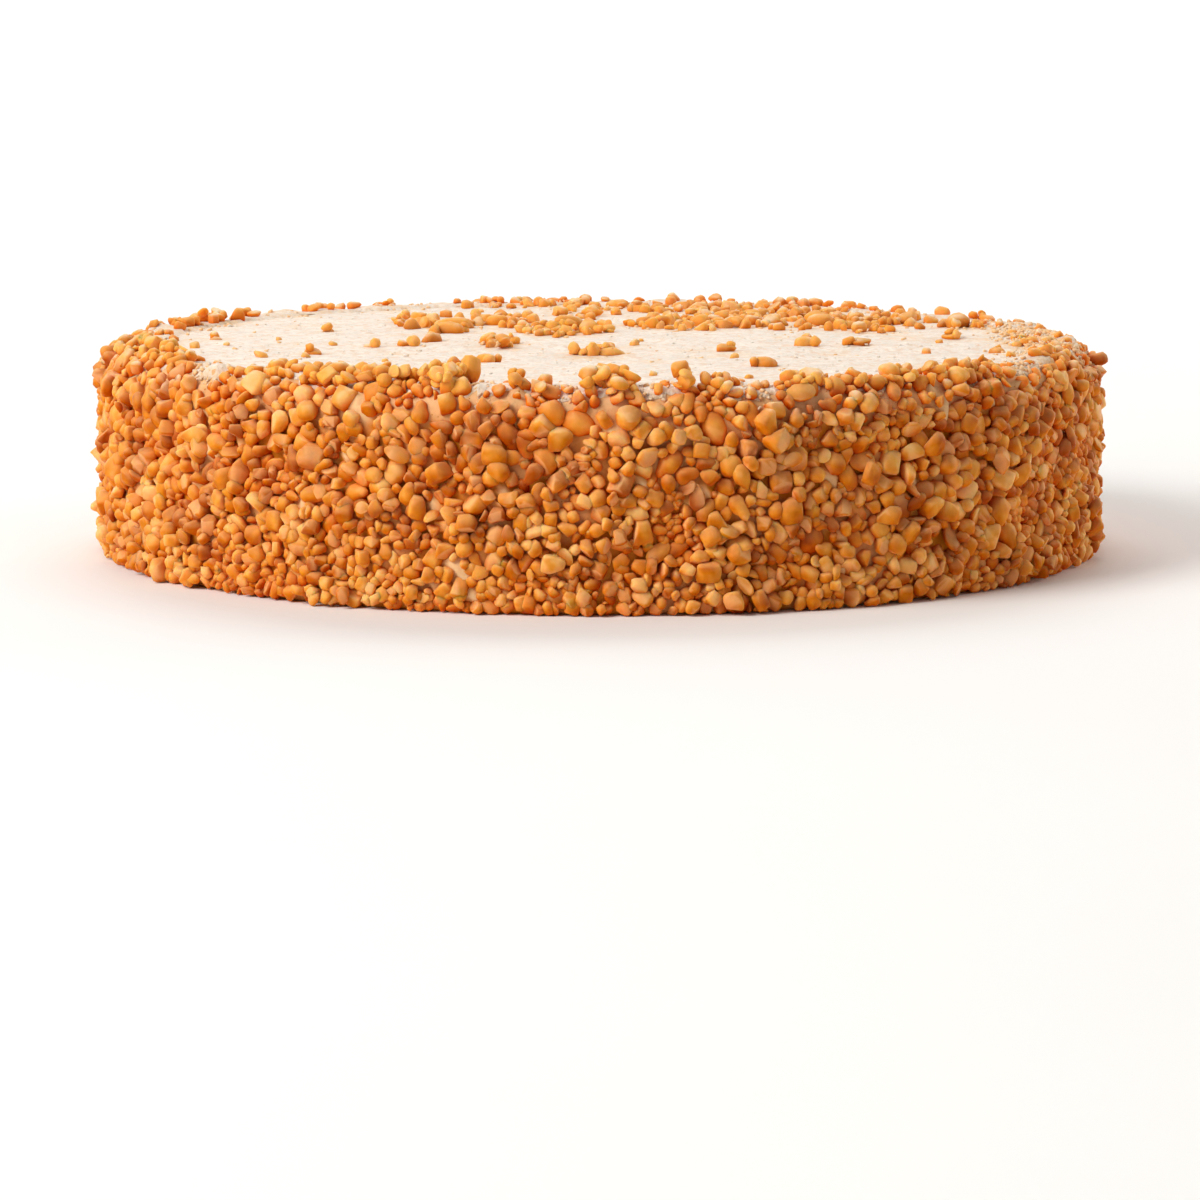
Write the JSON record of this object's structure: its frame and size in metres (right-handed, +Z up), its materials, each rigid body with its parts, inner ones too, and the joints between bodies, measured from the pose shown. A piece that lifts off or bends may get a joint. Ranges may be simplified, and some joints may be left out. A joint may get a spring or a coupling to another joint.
{
  "type": "mille-feuille cake",
  "caption": "Round uncut mille-feuille cake, its side coated with chopped roasted nuts and its flat top dusted with icing sugar and scattered nuts.",
  "frame": {"origin": "middle of the cake's round base, on the surface it stands on", "axes": "+Z up through the middle of the cake, -Y towards its front"},
  "size_m": [0.2758, 0.276, 0.0602],
  "materials": {
    "nut_coat": "roasted chopped nuts, amber to brown, with a soft waxy sheen",
    "icing_sugar": "dry sifted icing sugar, matt warm white with beige specks",
    "cream": "soft pinkish beige cream that holds the nuts, satin"
  },
  "bodies": {
    "root": {"cake": "nut_coat"}
  },
  "joints": []
}
